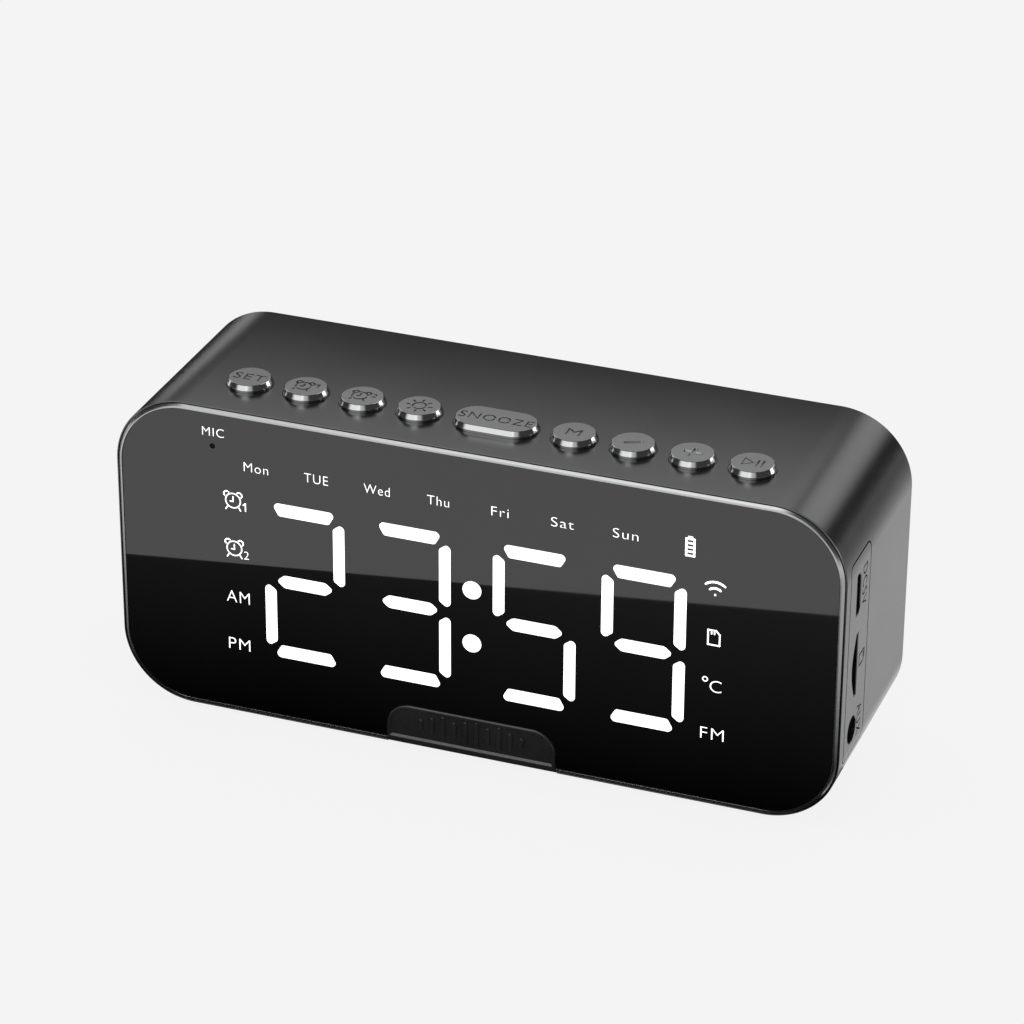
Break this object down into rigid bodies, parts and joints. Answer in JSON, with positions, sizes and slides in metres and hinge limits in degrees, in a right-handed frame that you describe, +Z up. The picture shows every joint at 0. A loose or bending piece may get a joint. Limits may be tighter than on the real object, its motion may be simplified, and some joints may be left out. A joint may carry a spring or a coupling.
{
  "type": "alarm clock",
  "caption": "Oblong mirror-front digital alarm clock with rounded sleeve, chamfered bezel, row of top keys, side port plate and rear speaker slots.",
  "frame": {"origin": "middle of the bounding box, on the surface that the feet rest on", "axes": "+X right as seen from the front, +Y towards the back, +Z up"},
  "size_m": [0.14, 0.0422, 0.0652],
  "materials": {
    "sleeve_metal": "dark grey anodised, fine satin",
    "bezel_metal": "satin, bright cut chamfer",
    "lens_black": "black mirror acrylic",
    "white_plastic": "matt",
    "grey_plastic": "matt",
    "black_plastic": "fine texture",
    "key_metal": "blasted face with a bright cut edge",
    "circuit_board": "green solder mask",
    "soft_rubber": "matt silicone",
    "bright_steel": "nickel plated",
    "grille_mesh": "black painted wire mesh",
    "ferrite": "dull grey",
    "copper_wire": "lacquered winding",
    "cone_paper": "pressed pulp",
    "foil": "laminated foil",
    "foam": "closed cell foam",
    "cable_sheath": "soft sheath"
  },
  "bodies": {
    "case": {"switch_set": "black_plastic", "switch_alarm_1": "black_plastic", "switch_alarm_2": "black_plastic", "switch_light": "black_plastic", "switch_snooze": "black_plastic", "switch_mode": "black_plastic", "switch_minus": "black_plastic", "switch_plus": "black_plastic", "switch_play": "black_plastic", "case_sleeve": "sleeve_metal", "front_bezel": "bezel_metal", "mirror_lens": "lens_black", "display_diffuser": "white_plastic", "segment_housing": "white_plastic", "microphone": "foil", "main_board": "circuit_board", "button_board": "circuit_board", "inner_chassis": "grey_plastic", "board_screw_1": "bright_steel", "board_screw_2": "bright_steel", "board_screw_3": "bright_steel", "board_screw_4": "bright_steel", "port_plate": "black_plastic", "usb_socket": "bright_steel", "card_socket": "bright_steel", "audio_jack": "black_plastic", "base_strap": "soft_rubber", "foot_pad_1": "soft_rubber", "foot_pad_2": "soft_rubber", "foot_pad_3": "soft_rubber", "foot_pad_4": "soft_rubber", "rear_cover": "black_plastic", "grille_screen": "grille_mesh", "cover_screw_1": "bright_steel", "cover_screw_2": "bright_steel", "cover_screw_3": "bright_steel", "cover_screw_4": "bright_steel", "speaker_gasket": "foam", "speaker_basket": "black_plastic", "speaker_top_plate": "bright_steel", "speaker_magnet": "ferrite", "speaker_yoke": "bright_steel", "speaker_surround": "soft_rubber", "speaker_spider": "cone_paper", "speaker_lead": "cable_sheath", "battery_pad": "foam", "battery_cell": "foil"},
    "key_set": {"key_set": "key_metal"},
    "key_alarm_1": {"key_alarm_1": "key_metal"},
    "key_alarm_2": {"key_alarm_2": "key_metal"},
    "key_light": {"key_light": "key_metal"},
    "key_snooze": {"key_snooze": "key_metal"},
    "key_mode": {"key_mode": "key_metal"},
    "key_minus": {"key_minus": "key_metal"},
    "key_plus": {"key_plus": "key_metal"},
    "key_play": {"key_play": "key_metal"},
    "cone_assembly": {"speaker_cone": "cone_paper", "voice_coil": "copper_wire"}
  },
  "joints": [
    {"name": "key_set_press", "type": "slide", "parent": "case", "child": "key_set", "axis": [0, 0, -1], "range_m": [0, 0.0004], "stiffness_N_per_m": 150},
    {"name": "key_alarm_1_press", "type": "slide", "parent": "case", "child": "key_alarm_1", "axis": [0, 0, -1], "range_m": [0, 0.0004], "stiffness_N_per_m": 150},
    {"name": "key_alarm_2_press", "type": "slide", "parent": "case", "child": "key_alarm_2", "axis": [0, 0, -1], "range_m": [0, 0.0004], "stiffness_N_per_m": 150},
    {"name": "key_light_press", "type": "slide", "parent": "case", "child": "key_light", "axis": [0, 0, -1], "range_m": [0, 0.0004], "stiffness_N_per_m": 150},
    {"name": "key_snooze_press", "type": "slide", "parent": "case", "child": "key_snooze", "axis": [0, 0, -1], "range_m": [0, 0.0004], "stiffness_N_per_m": 150},
    {"name": "key_mode_press", "type": "slide", "parent": "case", "child": "key_mode", "axis": [0, 0, -1], "range_m": [0, 0.0004], "stiffness_N_per_m": 150},
    {"name": "key_minus_press", "type": "slide", "parent": "case", "child": "key_minus", "axis": [0, 0, -1], "range_m": [0, 0.0004], "stiffness_N_per_m": 150},
    {"name": "key_plus_press", "type": "slide", "parent": "case", "child": "key_plus", "axis": [0, 0, -1], "range_m": [0, 0.0004], "stiffness_N_per_m": 150},
    {"name": "key_play_press", "type": "slide", "parent": "case", "child": "key_play", "axis": [0, 0, -1], "range_m": [0, 0.0004], "stiffness_N_per_m": 150},
    {"name": "cone_travel", "type": "slide", "parent": "case", "child": "cone_assembly", "axis": [0, 1, 0], "range_m": [-0.0005, 0.0005], "stiffness_N_per_m": 600}
  ]
}
